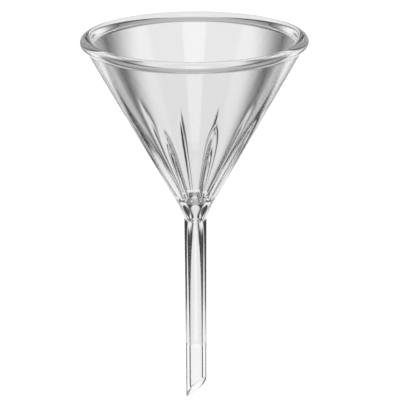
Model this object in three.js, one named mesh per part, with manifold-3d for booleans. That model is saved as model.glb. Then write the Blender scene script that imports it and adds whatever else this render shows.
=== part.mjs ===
// A 100 mm ribbed filter funnel in clear borosilicate glass, +Z up, in millimetres.
//
// A 60 degree cone with a thick beaded rim has narrow ribs inside its lower half, and is welded
// through a short bulbous neck to a heavy-walled stem with a bevelled tip. The four pieces of glass
// meet face to face on level weld planes. The origin is on the axis, in the plane where the cone
// measures SEAT_DIAMETER across, which is where a support ring carries it.

import * as THREE from "three";
import { mergeVertices } from "three/addons/utils/BufferGeometryUtils.js";
import Module from "manifold-3d";

// ---- Driving dimensions (millimetres and degrees) ----

// The cone
const RIM_DIAMETER = 100;
const SEAT_DIAMETER = 60;
const OUTER_HALF_ANGLE = 29;
const INNER_HALF_ANGLE = 30;
const RIM_WALL = 2.4; // level width of the wall at the bead
const FLOOR_Z = -35.0; // bottom of the cone's inside, and the bowl's weld plane

// The beaded rim
const BEAD_WIDTH = 5.4;
const BEAD_HEIGHT = 4.5;
const BEAD_FLAT = 0.8; // width of the level ring along the bead's crest
const BEAD_OVERHANG = 1.0; // the bead stands this far outside the wall's outer cone
const BEAD_START = -62; // where the bead's oval leaves the fillet, in degrees from its outermost point
const BEAD_END = 222; // where the oval runs into the inner cone
const RIM_FOOT = 2.4; // plain wall and fillets between the weld plane and the bead
const FILLET_RISE = 1.67; // height above the weld plane where the hollow fillets start

// The ribs inside the cone
const RIB_COUNT = 8;
const RIB_PHASE = 62; // degrees anticlockwise from +X to the first rib
const RIB_TOP = 6; // height where the ribs fade out
const RIB_GROWTH = 22; // drop over which a rib grows to its full height
const RIB_HEIGHT = 1.0; // full height of a rib's crest over the cone
const RIB_SHARPNESS = 8; // the higher, the narrower the rib

// The neck, with its drops measured from the floor of the cone
const MOUTH_RADIUS = 4.6; // hole in the floor
const CHAMBER_RADIUS = 5.0;
const CHAMBER_DROP = 3.2; // to the widest part of the chamber
const SHOULDER_DROP = 5.3; // to where the outside turns in towards the stem
const TAPER_RADIUS = 3.0;
const TAPER_DROP = 9.0; // to where the taper under the chamber is TAPER_RADIUS wide
const CORNER_DROP = 11.6; // to the corner between neck and stem
const WELD_DROP = 12.7; // to the stem's weld plane
const WELD_BORE_RADIUS = 2.2;

// The stem, with its drops measured from the weld plane
const STEM_TOP_DIAMETER = 10.0;
const STEM_TIP_DIAMETER = 9.3;
const THROAT_RADIUS = 2.45;
const THROAT_DROP = 4; // to where the opening bore is THROAT_RADIUS wide
const BORE_TOP_RADIUS = 2.6;
const BORE_OPENING_DROP = 10; // to where the bore is BORE_TOP_RADIUS wide
const BORE_TIP_RADIUS = 2.65;
const TIP_Z = -134.6; // lowest point of the tip
const BEVEL_ANGLE = 52; // between the cut face and the level
const BEVEL_HEADING = -45; // degrees from +X towards which the cut face looks
const CUTTER_SIZE = 60; // edge of the block that cuts the bevel

// Fineness of the round surfaces
const BOWL_SEGMENTS = 96;
const TUBE_SEGMENTS = 48;
const RIB_ROWS = 10;
const CURVE_STEPS = 5;

// ---- Derived dimensions ----
const radians = THREE.MathUtils.degToRad;
const outerSlope = Math.tan(radians(OUTER_HALF_ANGLE));
const innerSlope = Math.tan(radians(INNER_HALF_ANGLE));
const rimWallRadius = RIM_DIAMETER / 2 - BEAD_OVERHANG;
const beadZ = (rimWallRadius - SEAT_DIAMETER / 2) / outerSlope;
const rimWeldZ = beadZ - BEAD_HEIGHT / 2 - RIM_FOOT;
const stemWeldZ = FLOOR_Z - WELD_DROP;
const stemTopRadius = STEM_TOP_DIAMETER / 2;
const stemTipRadius = STEM_TIP_DIAMETER / 2;

const outerRadius = (z) => SEAT_DIAMETER / 2 + z * outerSlope;
const innerRadius = (z) => rimWallRadius - RIM_WALL + (z - beadZ) * innerSlope;

const wasm = await Module();
wasm.setup();

// ---- Shared helpers ----

// Leaves only the positions, and joins the vertices that share a place.
function welded(geometry) {
  geometry.deleteAttribute("normal");
  geometry.deleteAttribute("uv");
  return mergeVertices(geometry);
}

// Turns a closed outline of [radius, height] points round the Z axis. The outline runs anticlockwise,
// with its material on the left, and the first facet starts at the first rib's crest.
function turned(outline, segments) {
  const points = [...outline, outline[0]].map(([radius, z]) => new THREE.Vector2(radius, z));
  const geometry = new THREE.LatheGeometry(points, segments);
  geometry.rotateX(Math.PI / 2);
  geometry.rotateZ(Math.PI / 2 + radians(RIB_PHASE));
  return welded(geometry);
}

// A smooth curve through [radius, height] points.
function smooth(knots) {
  const curve = new THREE.SplineCurve(knots.map(([radius, z]) => new THREE.Vector2(radius, z)));
  const steps = CURVE_STEPS * (knots.length - 1);
  return curve.getPoints(steps).map((point) => [point.x, point.y]);
}

function toSolid(geometry) {
  const mesh = new wasm.Mesh({
    numProp: 3,
    vertProperties: new Float32Array(geometry.attributes.position.array),
    triVerts: new Uint32Array(geometry.index.array),
  });
  return new wasm.Manifold(mesh);
}

function fromSolid(solid) {
  const mesh = solid.getMesh();
  const geometry = new THREE.BufferGeometry();
  geometry.setAttribute("position", new THREE.BufferAttribute(mesh.vertProperties, 3));
  geometry.setIndex(new THREE.BufferAttribute(mesh.triVerts, 1));
  return geometry;
}

// ---- The rim ----

// Points of the bead's oval between two angles, in degrees from its outermost point.
function beadArc(from, to) {
  const points = [];
  for (let step = 0; step <= CURVE_STEPS; step += 1) {
    const angle = radians(THREE.MathUtils.lerp(from, to, step / CURVE_STEPS));
    const radius = RIM_DIAMETER / 2 - (BEAD_WIDTH / 2) * (1 - Math.cos(angle));
    points.push([radius, beadZ + (BEAD_HEIGHT / 2) * Math.sin(angle)]);
  }
  return points;
}

// An oval bead that runs into the wall through a hollow fillet on each side.
function rimBead() {
  const crest = 90;
  const halfFlat = THREE.MathUtils.radToDeg(Math.asin(BEAD_FLAT / BEAD_WIDTH));
  const filletZ = rimWeldZ + FILLET_RISE;
  const outline = [
    [innerRadius(rimWeldZ), rimWeldZ],
    [outerRadius(rimWeldZ), rimWeldZ],
    [outerRadius(filletZ), filletZ],
    ...beadArc(BEAD_START, crest - halfFlat),
    ...beadArc(crest + halfFlat, BEAD_END),
    [innerRadius(filletZ), filletZ],
  ];
  return turned(outline, BOWL_SEGMENTS);
}

// ---- The bowl ----

// How far the nearest rib stands in from the cone at this angle and height.
function ribHeight(angle, z) {
  const grown = THREE.MathUtils.smoothstep(RIB_TOP - z, 0, RIB_GROWTH);
  const pitches = (RIB_COUNT * (angle - radians(RIB_PHASE))) / (2 * Math.PI);
  const nearness = 1 - 2 * Math.abs(pitches - Math.round(pitches));
  return RIB_HEIGHT * grown * nearness ** RIB_SHARPNESS;
}

// Moves the inner wall's vertices in towards the axis where a rib stands.
function raiseRibs(geometry) {
  const position = geometry.attributes.position;
  const middleOfWall = (z) => (innerRadius(z) + outerRadius(z)) / 2;
  for (let i = 0; i < position.count; i += 1) {
    const [x, y, z] = [position.getX(i), position.getY(i), position.getZ(i)];
    const radius = Math.hypot(x, y);
    if (radius < middleOfWall(z)) {
      const scale = 1 - ribHeight(Math.atan2(y, x), z) / radius;
      position.setXY(i, x * scale, y * scale);
    }
  }
}

// A smooth cone outside, and inside a 60 degree cone with ribs that grow towards its foot.
function ribbedBowl() {
  const outline = [[innerRadius(rimWeldZ), rimWeldZ]];
  for (let row = 0; row <= RIB_ROWS; row += 1) {
    const z = THREE.MathUtils.lerp(RIB_TOP, FLOOR_Z, row / RIB_ROWS);
    outline.push([innerRadius(z), z]);
  }
  outline.push([outerRadius(FLOOR_Z), FLOOR_Z]);
  outline.push([outerRadius(rimWeldZ), rimWeldZ]);
  const geometry = turned(outline, BOWL_SEGMENTS);
  raiseRibs(geometry);
  return geometry;
}

// ---- The neck and the stem ----

// The foot of the cone narrows to the stem round a small bulbous chamber.
function neckWeld() {
  const chamberZ = FLOOR_Z - CHAMBER_DROP;
  const shoulderZ = FLOOR_Z - SHOULDER_DROP;
  const outline = [
    [stemTopRadius, stemWeldZ],
    [stemTopRadius, FLOOR_Z - CORNER_DROP],
    [outerRadius(shoulderZ), shoulderZ],
    [outerRadius(FLOOR_Z), FLOOR_Z],
    ...smooth([
      [MOUTH_RADIUS, FLOOR_Z],
      [CHAMBER_RADIUS, chamberZ],
      [TAPER_RADIUS, FLOOR_Z - TAPER_DROP],
      [WELD_BORE_RADIUS, stemWeldZ],
    ]),
  ];
  return turned(outline, TUBE_SEGMENTS);
}

// A block whose upper face is the bevel's plane, through the lowest point of the tip.
function bevelCutter() {
  const block = new THREE.BoxGeometry(CUTTER_SIZE, CUTTER_SIZE, CUTTER_SIZE);
  const rise = stemTipRadius * Math.tan(radians(BEVEL_ANGLE));
  block.translate(0, 0, -CUTTER_SIZE / 2);
  block.rotateY(-radians(BEVEL_ANGLE));
  block.rotateZ(radians(BEVEL_HEADING));
  block.translate(0, 0, TIP_Z + rise);
  return welded(block);
}

// A heavy-walled tube whose bore opens slowly under its weld, cut off on a slant at the tip.
function stem() {
  const outline = [
    ...smooth([
      [WELD_BORE_RADIUS, stemWeldZ],
      [THROAT_RADIUS, stemWeldZ - THROAT_DROP],
      [BORE_TOP_RADIUS, stemWeldZ - BORE_OPENING_DROP],
    ]),
    [BORE_TIP_RADIUS, TIP_Z],
    [stemTipRadius, TIP_Z],
    [stemTopRadius, stemWeldZ],
  ];
  const tube = toSolid(turned(outline, TUBE_SEGMENTS));
  return fromSolid(tube.subtract(toSolid(bevelCutter())));
}

// ---- Assembly ----

function glass(name, geometry) {
  const material = new THREE.MeshStandardMaterial({ color: 0xe9ecea, roughness: 0.05, metalness: 0 });
  const mesh = new THREE.Mesh(geometry, material);
  mesh.name = name;
  return mesh;
}

const group = new THREE.Group();
group.add(glass("rim_bead", rimBead()));
group.add(glass("ribbed_bowl", ribbedBowl()));
group.add(glass("neck_weld", neckWeld()));
group.add(glass("stem", stem()));

export default group;
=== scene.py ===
"""A ribbed filter funnel in clear glass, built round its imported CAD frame, in a small light rig."""

import math

import bpy
import numpy as np
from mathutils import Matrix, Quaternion, Vector


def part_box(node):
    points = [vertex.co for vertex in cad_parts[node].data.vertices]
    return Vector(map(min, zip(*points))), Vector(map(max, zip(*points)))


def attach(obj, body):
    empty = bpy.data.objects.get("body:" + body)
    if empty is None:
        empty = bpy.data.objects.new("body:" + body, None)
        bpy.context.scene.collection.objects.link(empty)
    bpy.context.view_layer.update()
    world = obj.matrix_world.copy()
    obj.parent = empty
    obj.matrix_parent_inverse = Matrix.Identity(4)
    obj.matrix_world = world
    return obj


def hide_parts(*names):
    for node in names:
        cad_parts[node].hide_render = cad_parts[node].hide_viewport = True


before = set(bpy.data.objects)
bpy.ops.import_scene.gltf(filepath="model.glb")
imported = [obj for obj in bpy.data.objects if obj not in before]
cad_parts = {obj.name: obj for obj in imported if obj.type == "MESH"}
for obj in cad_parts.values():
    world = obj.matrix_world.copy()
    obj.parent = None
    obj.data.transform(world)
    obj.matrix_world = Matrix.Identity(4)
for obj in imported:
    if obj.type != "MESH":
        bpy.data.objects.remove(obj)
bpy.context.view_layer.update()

MM = 0.001

# ---- Planes and radii read from the frame (metres) ----
RIM_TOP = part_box("rim_bead")[1].z
RIM_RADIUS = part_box("rim_bead")[1].x
RIM_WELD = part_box("rim_bead")[0].z
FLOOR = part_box("ribbed_bowl")[0].z
STEM_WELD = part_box("neck_weld")[0].z
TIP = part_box("stem")[0].z

# ---- Shape of the glass (metres and degrees) ----
SEAT_RADIUS = 30 * MM
OUTER_SLOPE = math.tan(math.radians(29))
INNER_SLOPE = math.tan(math.radians(30))
BEAD_Z = 34.277 * MM
BEAD_HALF_WIDTH = 2.7 * MM
BEAD_HALF_HEIGHT = RIM_TOP - BEAD_Z
INNER_RADIUS_AT_BEAD = 46.6 * MM
BEAD_START = -62  # where the oval leaves the outer fillet, from its outermost point
BEAD_END = 222  # where the oval meets the inner fillet
FILLET_FOOT = 31.3 * MM
FILLET_PULL = 1.2 * MM
FILLET_OVAL_PULL = 0.6

RIB_COUNT = 8
RIB_PHASE = math.radians(62)  # heading of the first rib
RIB_TOP = 6 * MM
RIB_GROWTH = 22 * MM  # drop over which a rib grows to its full height
RIB_HEIGHT = 1.0 * MM
RIB_SHARPNESS = 8  # the higher, the narrower the rib
CREST_ROUNDING = 0.02  # as a share of the distance between ribs

# The neck, with its drops measured from the floor of the cone
MOUTH_RADIUS = 4.6 * MM
MOUTH_DIP = 0.45 * MM
CHAMBER_RADIUS = 5.0 * MM
CHAMBER_DROP = 3.2 * MM
SHOULDER_DROP = 5.3 * MM
CORNER_DROP = 11.6 * MM
TAPER_RADIUS = 3.0 * MM
TAPER_DROP = 9.0 * MM
WELD_BORE_RADIUS = 2.2 * MM

# The stem, with its drops measured from its weld
THROAT_RADIUS = 2.45 * MM
THROAT_DROP = 4 * MM
BORE_TOP_RADIUS = 2.6 * MM
BORE_TIP_RADIUS = 2.65 * MM
BORE_OPENING_DROP = 10 * MM
STEM_TOP_RADIUS = 5.0 * MM
STEM_TIP_RADIUS = 4.65 * MM
BEVEL_SLOPE = math.tan(math.radians(52))
BEVEL_HEADING = math.radians(-45)  # where the cut face looks
TIP_ROUNDING = 0.45 * MM

# ---- Fineness of the meshes ----
SEGMENTS = 384  # round the axis
CROWDING = 0.7  # 0 spaces the segments evenly, 1 gathers them at the ribs' crests
OVAL_POINTS = 72
FILLET_POINTS = 12
FOOT_POINTS = 4
PLAIN_ROWS = 10
RIBBED_ROWS = 110
OUTSIDE_ROWS = 24
LEDGE_ROWS = 8
CHAMBER_ROWS = 16
SHOULDER_ROWS = 14
BORE_ROWS = 12
TUBE_ROWS = 20
BEVEL_ROWS = 5
EDGE_ROWS = 7


def outer_radius(z):
    return SEAT_RADIUS + z * OUTER_SLOPE


def inner_radius(z):
    return INNER_RADIUS_AT_BEAD + (z - BEAD_Z) * INNER_SLOPE


# ---- Curves in the half plane, as rows of (radius, height) ----

def line(start, end, count):
    """Points from start up to but not including end."""
    t = np.linspace(0, 1, count, endpoint=False)[:, None]
    return np.array(start) * (1 - t) + np.array(end) * t


def hermite(start, start_pull, end, end_pull, count):
    """A smooth curve that leaves start along start_pull and arrives at end along end_pull."""
    t = np.linspace(0, 1, count, endpoint=False)[:, None]
    a = 2 * t**3 - 3 * t**2 + 1
    b = t**3 - 2 * t**2 + t
    c = -2 * t**3 + 3 * t**2
    d = t**3 - t**2
    return a * np.array(start) + b * np.array(start_pull) + c * np.array(end) + d * np.array(end_pull)


def spline(knots, count):
    """A smooth curve through all the knots, with count points between each pair."""
    knots = [np.array(k) for k in knots]
    pulls = [knots[1] - knots[0]]
    pulls += [(knots[i + 1] - knots[i - 1]) / 2 for i in range(1, len(knots) - 1)]
    pulls.append(knots[-1] - knots[-2])
    spans = range(len(knots) - 1)
    return np.concatenate([hermite(knots[i], pulls[i], knots[i + 1], pulls[i + 1], count) for i in spans])


def bend(start, corner, end):
    """A rounded corner."""
    t = np.linspace(0, 1, EDGE_ROWS, endpoint=False)[:, None]
    return start * (1 - t) ** 2 + corner * 2 * t * (1 - t) + end * t**2


# ---- Meshes ----

def angles():
    """Angles round the axis, closer together at the ribs' crests."""
    pitches = np.arange(SEGMENTS) * (RIB_COUNT / SEGMENTS)
    pitches = pitches - CROWDING * np.sin(2 * math.pi * pitches) / (2 * math.pi)
    return pitches * (2 * math.pi / RIB_COUNT) + RIB_PHASE


def turned_piece(name, sections, welds, material):
    """A closed piece from its section at each angle.

    sections is [angle, point, (radius, height)], each section a closed loop, and welds lists the
    points whose next face lies on a weld plane.
    """
    count, points = sections.shape[:2]
    turn = angles()[:, None]
    x = sections[:, :, 0] * np.cos(turn)
    y = sections[:, :, 0] * np.sin(turn)
    vertices = np.stack([x, y, sections[:, :, 1]], axis=-1).reshape(-1, 3)
    i, j = np.meshgrid(np.arange(count), np.arange(points), indexing="ij")
    here = i * points
    beside = (i + 1) % count * points
    next_j = (j + 1) % points
    quads = np.stack([here + j, beside + j, beside + next_j, here + next_j], axis=-1)
    mesh = bpy.data.meshes.new(name)
    mesh.from_pydata(vertices.tolist(), [], quads.reshape(-1, 4).tolist())
    mesh.materials.append(material)
    mesh.materials.append(WELD)
    on_weld = np.isin(j.reshape(-1), welds)
    mesh.polygons.foreach_set("material_index", on_weld.astype(np.int32))
    mesh.polygons.foreach_set("use_smooth", ~on_weld)
    mark_sharp(mesh, points, welds)
    mesh.update()
    piece = bpy.data.objects.new(name, mesh)
    bpy.context.scene.collection.objects.link(piece)
    return piece


def mark_sharp(mesh, points, welds):
    """Keeps the shading of the glass wall apart from the flat weld faces."""
    rims = {w for w in welds} | {(w + 1) % points for w in welds}
    ends = np.empty(len(mesh.edges) * 2, np.int32)
    mesh.edges.foreach_get("vertices", ends)
    ends = ends.reshape(-1, 2) % points
    sharp = (ends[:, 0] == ends[:, 1]) & np.isin(ends[:, 0], list(rims))
    mesh.edges.foreach_set("use_edge_sharp", sharp)


def same_all_round(section):
    return np.repeat(section[None], SEGMENTS, axis=0)


def level_ring(radii, z):
    """One point of every section: its radius at each angle, all at one height."""
    return np.stack([radii, np.full(SEGMENTS, z)], axis=-1)


# ---- Materials ----

GLASS_IOR = 1.474
GLASS_CLEAREST = (0.997, 0.998, 0.996, 1)
GLASS_CLOUDED = (0.990, 0.993, 0.989, 1)
SMOOTH = (0, 0, 0, 1)  # roughness as a grey
HAZY = (0.012, 0.012, 0.012, 1)
NOISE_LOW = 0.35  # the noise mostly runs between these two
NOISE_HIGH = 0.65

# Fineness of the noise along X, Y and Z, in waves per metre
CLOUD_WAVES = (60, 60, 60)
HAZE_WAVES = (90, 90, 30)
PRESSED_WAVES = (160, 160, 90)
DRAWN_WAVES = (420, 420, 14)  # long lines along the tube
WAVE_HEIGHT = 0.012 * MM
PLAIN_DETAIL = 1.0
HAZE_DETAIL = 3.0


def noise(material, waves_per_metre, detail):
    """Soft noise over the piece, with its own fineness along X, Y and Z."""
    nodes, links = material.node_tree.nodes, material.node_tree.links
    place = nodes.new("ShaderNodeTexCoord")
    stretch = nodes.new("ShaderNodeMapping")
    stretch.inputs["Scale"].default_value = waves_per_metre
    links.new(place.outputs["Object"], stretch.inputs["Vector"])
    texture = nodes.new("ShaderNodeTexNoise")
    texture.inputs["Scale"].default_value = 1.0
    texture.inputs["Detail"].default_value = detail
    links.new(stretch.outputs["Vector"], texture.inputs["Vector"])
    return texture.outputs["Fac"]


def between(material, factor, low, high):
    """Grades evenly between two colours."""
    ramp = material.node_tree.nodes.new("ShaderNodeValToRGB")
    ramp.color_ramp.elements[0].position = NOISE_LOW
    ramp.color_ramp.elements[0].color = low
    ramp.color_ramp.elements[1].position = NOISE_HIGH
    ramp.color_ramp.elements[1].color = high
    material.node_tree.links.new(factor, ramp.inputs["Fac"])
    return ramp.outputs["Color"]


def glass_material(name, waves_per_metre):
    """Clear glass with a slightly wavy surface, faint cloudiness and patches of wiped-on haze."""
    material = bpy.data.materials.new(name)
    material.use_nodes = True
    nodes, links = material.node_tree.nodes, material.node_tree.links
    shader = nodes["Principled BSDF"]
    shader.inputs["IOR"].default_value = GLASS_IOR
    shader.inputs["Transmission Weight"].default_value = 1.0
    clouds = noise(material, CLOUD_WAVES, PLAIN_DETAIL)
    links.new(between(material, clouds, GLASS_CLOUDED, GLASS_CLEAREST), shader.inputs["Base Color"])
    patches = noise(material, HAZE_WAVES, HAZE_DETAIL)
    links.new(between(material, patches, SMOOTH, HAZY), shader.inputs["Roughness"])
    bump = nodes.new("ShaderNodeBump")
    bump.inputs["Distance"].default_value = WAVE_HEIGHT
    links.new(noise(material, waves_per_metre, PLAIN_DETAIL), bump.inputs["Height"])
    links.new(bump.outputs["Normal"], shader.inputs["Normal"])
    return material


def weld_material():
    """The weld faces inside the fused glass: there is nothing to see."""
    material = bpy.data.materials.new("weld_plane")
    material.use_nodes = True
    shader = material.node_tree.nodes["Principled BSDF"]
    shader.inputs["Base Color"].default_value = (1, 1, 1, 1)
    shader.inputs["Alpha"].default_value = 0.0
    return material


WELD = weld_material()


# ---- The rim ----

def bead_point(degrees):
    angle = math.radians(degrees)
    middle = RIM_RADIUS - BEAD_HALF_WIDTH
    return (middle + BEAD_HALF_WIDTH * math.cos(angle), BEAD_Z + BEAD_HALF_HEIGHT * math.sin(angle))


def bead_tangent(degrees):
    angle = math.radians(degrees)
    across = -BEAD_HALF_WIDTH * math.sin(angle)
    along = BEAD_HALF_HEIGHT * math.cos(angle)
    return (across * FILLET_OVAL_PULL, along * FILLET_OVAL_PULL)


def rim_bead(material):
    fillet_out = (outer_radius(FILLET_FOOT), FILLET_FOOT)
    fillet_in = (inner_radius(FILLET_FOOT), FILLET_FOOT)
    foot_out = (outer_radius(RIM_WELD), RIM_WELD)
    foot_in = (inner_radius(RIM_WELD), RIM_WELD)
    up_outside = (FILLET_PULL * OUTER_SLOPE, FILLET_PULL)
    down_inside = (-FILLET_PULL * INNER_SLOPE, -FILLET_PULL)
    oval_degrees = np.linspace(BEAD_START, BEAD_END, OVAL_POINTS, endpoint=False)
    wall_out = line(foot_out, fillet_out, FOOT_POINTS)
    hollow_out = hermite(
        fillet_out, up_outside, bead_point(BEAD_START), bead_tangent(BEAD_START), FILLET_POINTS
    )
    oval = np.array([bead_point(degrees) for degrees in oval_degrees])
    hollow_in = hermite(
        bead_point(BEAD_END), bead_tangent(BEAD_END), fillet_in, down_inside, FILLET_POINTS
    )
    wall_in = line(fillet_in, foot_in, FOOT_POINTS)
    section = np.concatenate([wall_out, hollow_out, oval, hollow_in, wall_in, [foot_in]])
    return turned_piece("rim_bead_glass", same_all_round(section), [len(section) - 1], material)


# ---- The bowl ----

def rib_height(turn, z):
    """How far the nearest rib stands in from the cone."""
    t = np.clip((RIB_TOP - z) / RIB_GROWTH, 0, 1)
    grown = t * t * (3 - 2 * t)
    pitches = RIB_COUNT * (turn - RIB_PHASE) / (2 * math.pi)
    offset = np.hypot(pitches - np.round(pitches), CREST_ROUNDING) - CREST_ROUNDING
    nearness = 1 - 2 * offset
    return RIB_HEIGHT * grown * nearness**RIB_SHARPNESS


def ribbed_ring(z):
    """The inside of the bowl at one height, at every angle."""
    return inner_radius(z) - rib_height(angles(), z)


def ribbed_bowl(material):
    plain = np.linspace(RIM_WELD, RIB_TOP, PLAIN_ROWS, endpoint=False)
    ribbed = np.linspace(RIB_TOP, FLOOR, RIBBED_ROWS)
    heights = np.concatenate([plain, ribbed])
    inside = np.stack([level_ring(ribbed_ring(z), z) for z in heights], axis=1)
    foot = (outer_radius(FLOOR), FLOOR)
    top = (outer_radius(RIM_WELD), RIM_WELD)
    outside = np.concatenate([line(foot, top, OUTSIDE_ROWS), [top]])
    sections = np.concatenate([inside, same_all_round(outside)], axis=1)
    welds = [len(heights) - 1, sections.shape[1] - 1]
    return turned_piece("ribbed_bowl_glass", sections, welds, material)


# ---- The neck and the stem ----

def mouth_ledge():
    """From the ribbed wall in to the round mouth, dipping into it."""
    rings = []
    for t in np.linspace(0, 1, LEDGE_ROWS, endpoint=False):
        radii = ribbed_ring(FLOOR) * (1 - t) + MOUTH_RADIUS * t
        rings.append(level_ring(radii, FLOOR - MOUTH_DIP * t**3))
    return np.stack(rings, axis=1)


def neck_weld(material):
    """The ledge from the ribbed wall to the mouth, down the chamber, and up the shoulder outside."""
    ledge = mouth_ledge()
    shoulder = FLOOR - SHOULDER_DROP
    bore = spline([
        (MOUTH_RADIUS, FLOOR - MOUTH_DIP),
        (CHAMBER_RADIUS, FLOOR - CHAMBER_DROP),
        (TAPER_RADIUS, FLOOR - TAPER_DROP),
        (WELD_BORE_RADIUS, STEM_WELD),
    ], CHAMBER_ROWS)
    bore = np.concatenate([bore, [(WELD_BORE_RADIUS, STEM_WELD)]])
    outside = spline([
        (STEM_TOP_RADIUS, STEM_WELD),
        (STEM_TOP_RADIUS, FLOOR - CORNER_DROP),
        (outer_radius(shoulder), shoulder),
        (outer_radius(FLOOR), FLOOR),
    ], SHOULDER_ROWS)
    outside = np.concatenate([outside, [(outer_radius(FLOOR), FLOOR)]])
    sections = np.concatenate([ledge, same_all_round(bore), same_all_round(outside)], axis=1)
    welds = [ledge.shape[1] + len(bore) - 1, sections.shape[1] - 1]
    return turned_piece("neck_glass", sections, welds, material)


def bevel_height(radius, turn):
    """Height of the bevel's plane at this place."""
    return TIP + STEM_TIP_RADIUS * BEVEL_SLOPE + radius * BEVEL_SLOPE * np.cos(turn - BEVEL_HEADING)


def stem_section(turn):
    """The stem's wall at one angle: down the bore, round the fire-polished end and up the outside."""
    across = np.array([1, BEVEL_SLOPE * math.cos(turn - BEVEL_HEADING)])
    across = across / np.linalg.norm(across)
    up = np.array([0, 1])
    inner_corner = np.array([BORE_TIP_RADIUS, bevel_height(BORE_TIP_RADIUS, turn)])
    outer_corner = np.array([STEM_TIP_RADIUS, bevel_height(STEM_TIP_RADIUS, turn)])
    bore = spline([
        (WELD_BORE_RADIUS, STEM_WELD),
        (THROAT_RADIUS, STEM_WELD - THROAT_DROP),
        (BORE_TOP_RADIUS, STEM_WELD - BORE_OPENING_DROP),
    ], BORE_ROWS)
    bore_end = inner_corner + up * TIP_ROUNDING
    face_start = inner_corner + across * TIP_ROUNDING
    face_end = outer_corner - across * TIP_ROUNDING
    wall_start = outer_corner + up * TIP_ROUNDING
    wall_end = (STEM_TOP_RADIUS, STEM_WELD)
    tube = line((BORE_TOP_RADIUS, STEM_WELD - BORE_OPENING_DROP), bore_end, TUBE_ROWS)
    inner_edge = bend(bore_end, inner_corner, face_start)
    face = line(face_start, face_end, BEVEL_ROWS)
    outer_edge = bend(face_end, outer_corner, wall_start)
    outside = line(wall_start, wall_end, OUTSIDE_ROWS)
    return np.concatenate([bore, tube, inner_edge, face, outer_edge, outside, [wall_end]])


def stem(material):
    sections = np.stack([stem_section(turn) for turn in angles()])
    return turned_piece("stem_glass", sections, [sections.shape[1] - 1], material)


# ---- Assembly ----

bowl_glass = glass_material("bowl_glass", PRESSED_WAVES)
stem_glass = glass_material("stem_glass", DRAWN_WAVES)
pieces = {
    "rim_bead": rim_bead(bowl_glass),
    "ribbed_bowl": ribbed_bowl(bowl_glass),
    "neck_weld": neck_weld(stem_glass),
    "stem": stem(stem_glass),
}
for node, piece in pieces.items():
    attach(piece, "root")
    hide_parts(node)


# ---- Camera (metres and degrees) ----

CAMERA_DISTANCE = 1.0
CAMERA_ELEVATION = math.radians(17.8)
CAMERA_AIM = Vector((0.0021, 0, -0.0387))
CAMERA_ROLL = math.radians(-0.3)
CAMERA_LENS = 201.8  # millimetres


def place_camera():
    camera = bpy.data.objects.new("camera", bpy.data.cameras.new("camera"))
    camera.data.lens = CAMERA_LENS
    back = -CAMERA_DISTANCE * math.cos(CAMERA_ELEVATION)
    height = CAMERA_AIM.z + CAMERA_DISTANCE * math.sin(CAMERA_ELEVATION)
    camera.location = (0, back, height)
    camera.rotation_mode = "QUATERNION"
    look = (CAMERA_AIM - camera.location).to_track_quat("-Z", "Y")
    camera.rotation_quaternion = look @ Quaternion((0, 0, 1), CAMERA_ROLL)
    bpy.context.scene.collection.objects.link(camera)
    bpy.context.scene.camera = camera
    return camera


# ---- Studio (metres, degrees and radiance) ----
#
# The camera sees a white room. The glass sees a dim grey one, with a bright strip down the middle of the
# table and up the wall behind, a bright card round the stem, a panel at each side and a light overhead.
# Headings are measured from straight behind the funnel.

ROOM_WHITE = 1.2
SKY_LIGHT = 0.22

TABLE = TIP - 16 * MM
TABLE_DARK = 0.05
STRIP_FLAT = 0.048
STRIP_EDGE = 0.09
STRIP_LIGHT = 0.85
WING_RADIUS = 0.33
WING_TAPER = 0.0034  # loss of radius for each degree
WING_END = 65
WING_FADE = 10
WING_SOFTNESS = 0.02
TABLE_ACROSS = ((-3, -0.4, 10), (-0.38, 0.38, 153), (0.4, 3, 10))  # start, end and points of each stretch
TABLE_ALONG = ((-1.5, -0.1, 8), (-0.08, 0.5, 59), (0.55, 3, 20))

CARD_RADIUS = 0.11
CARD_TOP = -0.078
CARD_SLOPE = 0.0011  # drop of the card's top for each degree
CARD_END = 50
CARD_LIGHT = 0.93
CARD_GRID = (65, 5)  # points across and up

DISC_LIGHT = 1.05
DISC_LIFT = 0.001  # above the table
DISC_HOLE = 0.001
DISC_FADE_START = CARD_END - 2
DISC_FADE_END = CARD_END + 6
DISC_GRID = (121, 8)

PANEL_RADIUS = 0.2
PANEL_START = 15
PANEL_FULL = 22
PANEL_END = 110
PANEL_FOOT = -0.112
PANEL_SOFTNESS = 0.01
PANEL_TOP = 0.25
PANEL_LIGHT = 0.95
PANEL_GRID = (40, 20)

BACKDROP_DISTANCE = 2.95
BACKDROP_TOP = 3.0
BACKDROP_FLAT = 0.1
BACKDROP_EDGE = 0.35
BACKDROP_LIGHT = 0.5
BACKDROP_GRID = (41, 9)

TOP_LIGHT = 1.5
TOP_FLAT = 0.17
TOP_EDGE = 0.25
TOP_NEAR = (-0.9, 0.7)  # y and z of the edge towards the camera
TOP_FAR = (-0.4, 0.9)
TOP_GRID = (21, 21)

FLOOR_SHEET_HALF = 40
FLOOR_SHEET_DROP = 0.3


def rig_facing(camera):
    """An empty on the axis that turns with the camera, so that every view is lit alike."""
    rig = bpy.data.objects.new("rig", None)
    bpy.context.scene.collection.objects.link(rig)
    facing = rig.constraints.new("LOCKED_TRACK")
    facing.target = camera
    facing.track_axis = "TRACK_NEGATIVE_Y"
    facing.lock_axis = "LOCK_Z"
    return rig


def light_material(name, radiance):
    material = bpy.data.materials.new(name)
    material.use_nodes = True
    nodes = material.node_tree.nodes
    nodes.remove(nodes["Principled BSDF"])
    glow = nodes.new("ShaderNodeEmission")
    glow.inputs["Color"].default_value = (1, 1, 1, 1)
    glow.inputs["Strength"].default_value = radiance
    material.node_tree.links.new(glow.outputs[0], nodes["Material Output"].inputs["Surface"])
    return material


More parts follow.
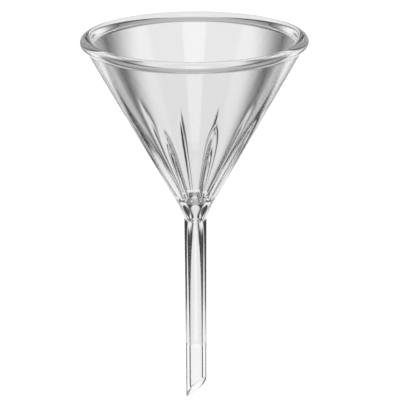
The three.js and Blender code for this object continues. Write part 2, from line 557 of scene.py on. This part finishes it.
def graded_light_material():
    """Emits what each point's radiance attribute says."""
    material = light_material("studio_light", 1)
    nodes, links = material.node_tree.nodes, material.node_tree.links
    radiance = nodes.new("ShaderNodeAttribute")
    radiance.attribute_name = "radiance"
    links.new(radiance.outputs["Fac"], nodes["Emission"].inputs["Strength"])
    return material


RIG = rig_facing(place_camera())
GLOW = graded_light_material()


def glow_sheet(name, points, radiance):
    """A grid of points that only the glass sees, on the rig that turns with the camera."""
    rows, columns = radiance.shape
    i, j = np.meshgrid(np.arange(rows - 1), np.arange(columns - 1), indexing="ij")
    corner = i * columns + j
    quads = np.stack([corner, corner + 1, corner + columns + 1, corner + columns], axis=-1)
    mesh = bpy.data.meshes.new(name)
    mesh.from_pydata(points.reshape(-1, 3).tolist(), [], quads.reshape(-1, 4).tolist())
    attribute = mesh.attributes.new("radiance", "FLOAT", "POINT")
    attribute.data.foreach_set("value", radiance.astype(np.float32).ravel())
    mesh.materials.append(GLOW)
    sheet = bpy.data.objects.new(name, mesh)
    bpy.context.scene.collection.objects.link(sheet)
    sheet.parent = RIG
    sheet.visible_camera = False
    sheet.visible_diffuse = False
    sheet.visible_shadow = False


def grid(columns, rows, size):
    """Two arrays that run evenly over the (start, end) of the columns and of the rows."""
    return np.meshgrid(np.linspace(*columns, size[0]), np.linspace(*rows, size[1]))


def stretches(spans):
    return np.concatenate([np.linspace(*span) for span in spans])


def round_the_stem(radius, heading, z):
    """Points at these distances from the axis, headings and heights."""
    turn = np.radians(heading)
    return np.stack([radius * np.sin(turn), radius * np.cos(turn), z], axis=-1)


def rise(value, start, end):
    """Runs smoothly from 0 at start to 1 at end."""
    t = np.clip((value - start) / (end - start), 0, 1)
    return t * t * (3 - 2 * t)


def table_light():
    """A bright strip down the middle of the table, and lit wings that the card hides from the stem."""
    x, y = np.meshgrid(stretches(TABLE_ACROSS), stretches(TABLE_ALONG))
    heading = np.degrees(np.arctan2(np.abs(x), y))
    wing_edge = WING_RADIUS - WING_TAPER * heading
    wing = rise(heading, PANEL_START, PANEL_FULL) * (1 - rise(heading, WING_END - WING_FADE, WING_END))
    wing = PANEL_LIGHT * wing * (1 - rise(np.hypot(x, y), wing_edge - WING_SOFTNESS, wing_edge))
    strip = STRIP_LIGHT * (1 - rise(np.abs(x), STRIP_FLAT, STRIP_EDGE))
    radiance = TABLE_DARK + (1 - TABLE_DARK) * np.maximum(strip, wing)
    glow_sheet("table_light", np.stack([x, y, np.full_like(x, TABLE)], axis=-1), radiance)


def near_card():
    """A bright card that stands round the stem behind it, lower towards its ends."""
    heading, t = grid((-CARD_END, CARD_END), (0, 1), CARD_GRID)
    z = TABLE + t * (CARD_TOP - CARD_SLOPE * np.abs(heading) - TABLE)
    glow_sheet("near_card", round_the_stem(CARD_RADIUS, heading, z), np.full_like(z, CARD_LIGHT))


def near_disc():
    """The lit part of the table inside the card."""
    heading, radius = grid((-180, 180), (DISC_HOLE, CARD_RADIUS), DISC_GRID)
    lit = 1 - rise(np.abs(heading), DISC_FADE_START, DISC_FADE_END)
    radiance = TABLE_DARK + (DISC_LIGHT - TABLE_DARK) * lit
    z = np.full_like(radius, TABLE + DISC_LIFT)
    glow_sheet("near_disc", round_the_stem(radius, heading, z), radiance)


def side_panel(name, side):
    """side is -1 for the camera's left and 1 for its right."""
    heading, z = grid((PANEL_START, PANEL_END), (PANEL_FOOT, PANEL_TOP), PANEL_GRID)
    lit = rise(heading, PANEL_START, PANEL_FULL) * rise(z, PANEL_FOOT, PANEL_FOOT + PANEL_SOFTNESS)
    radiance = TABLE_DARK + (PANEL_LIGHT - TABLE_DARK) * lit
    glow_sheet(name, round_the_stem(PANEL_RADIUS, side * heading, z), radiance)


def backdrop():
    """The strip of light goes on up the wall behind."""
    x, z = grid((-BACKDROP_EDGE, BACKDROP_EDGE), (TABLE, BACKDROP_TOP), BACKDROP_GRID)
    lit = 1 - rise(np.abs(x), BACKDROP_FLAT, BACKDROP_EDGE)
    radiance = SKY_LIGHT + (BACKDROP_LIGHT - SKY_LIGHT) * lit
    glow_sheet("backdrop", np.stack([x, np.full_like(x, BACKDROP_DISTANCE), z], axis=-1), radiance)


def top_light():
    """A sloping light overhead, on the camera's side of the funnel."""
    x, t = grid((-TOP_EDGE, TOP_EDGE), (0, 1), TOP_GRID)
    y = TOP_NEAR[0] * (1 - t) + TOP_FAR[0] * t
    z = TOP_NEAR[1] * (1 - t) + TOP_FAR[1] * t
    radiance = TOP_LIGHT * (1 - rise(np.abs(x), TOP_FLAT, TOP_EDGE))
    glow_sheet("top_light", np.stack([x, y, z], axis=-1), radiance)


def white_floor():
    """A plain white floor that the glass doesn't see."""
    half = FLOOR_SHEET_HALF
    z = TIP - FLOOR_SHEET_DROP
    corners = [(-half, -half, z), (half, -half, z), (half, half, z), (-half, half, z)]
    mesh = bpy.data.meshes.new("floor")
    mesh.from_pydata(corners, [], [(0, 1, 2, 3)])
    mesh.materials.append(light_material("floor", ROOM_WHITE))
    sheet = bpy.data.objects.new("floor", mesh)
    bpy.context.scene.collection.objects.link(sheet)
    sheet.visible_transmission = False
    sheet.visible_glossy = False


def room():
    """White where the camera looks past the funnel, and dim for everything that the glass sees."""
    world = bpy.data.worlds.new("studio")
    world.use_nodes = True
    nodes, links = world.node_tree.nodes, world.node_tree.links
    white = nodes["Background"]
    white.inputs["Color"].default_value = (1, 1, 1, 1)
    white.inputs["Strength"].default_value = ROOM_WHITE
    dim = nodes.new("ShaderNodeBackground")
    dim.inputs["Color"].default_value = (1, 1, 1, 1)
    dim.inputs["Strength"].default_value = SKY_LIGHT
    path = nodes.new("ShaderNodeLightPath")
    mix = nodes.new("ShaderNodeMixShader")
    links.new(path.outputs["Is Camera Ray"], mix.inputs[0])
    links.new(dim.outputs[0], mix.inputs[1])
    links.new(white.outputs[0], mix.inputs[2])
    links.new(mix.outputs[0], nodes["World Output"].inputs["Surface"])
    bpy.context.scene.world = world


table_light()
near_card()
near_disc()
side_panel("side_panel_left", -1)
side_panel("side_panel_right", 1)
backdrop()
top_light()
white_floor()
room()


# ---- How light travels ----

GLASS_BOUNCES = 32
GLOSSY_BOUNCES = 16

scene = bpy.context.scene
scene.view_settings.view_transform = "Standard"
scene.cycles.max_bounces = GLASS_BOUNCES
scene.cycles.transmission_bounces = GLASS_BOUNCES
scene.cycles.glossy_bounces = GLOSSY_BOUNCES
scene.cycles.transparent_max_bounces = GLASS_BOUNCES
scene.cycles.use_denoising = True
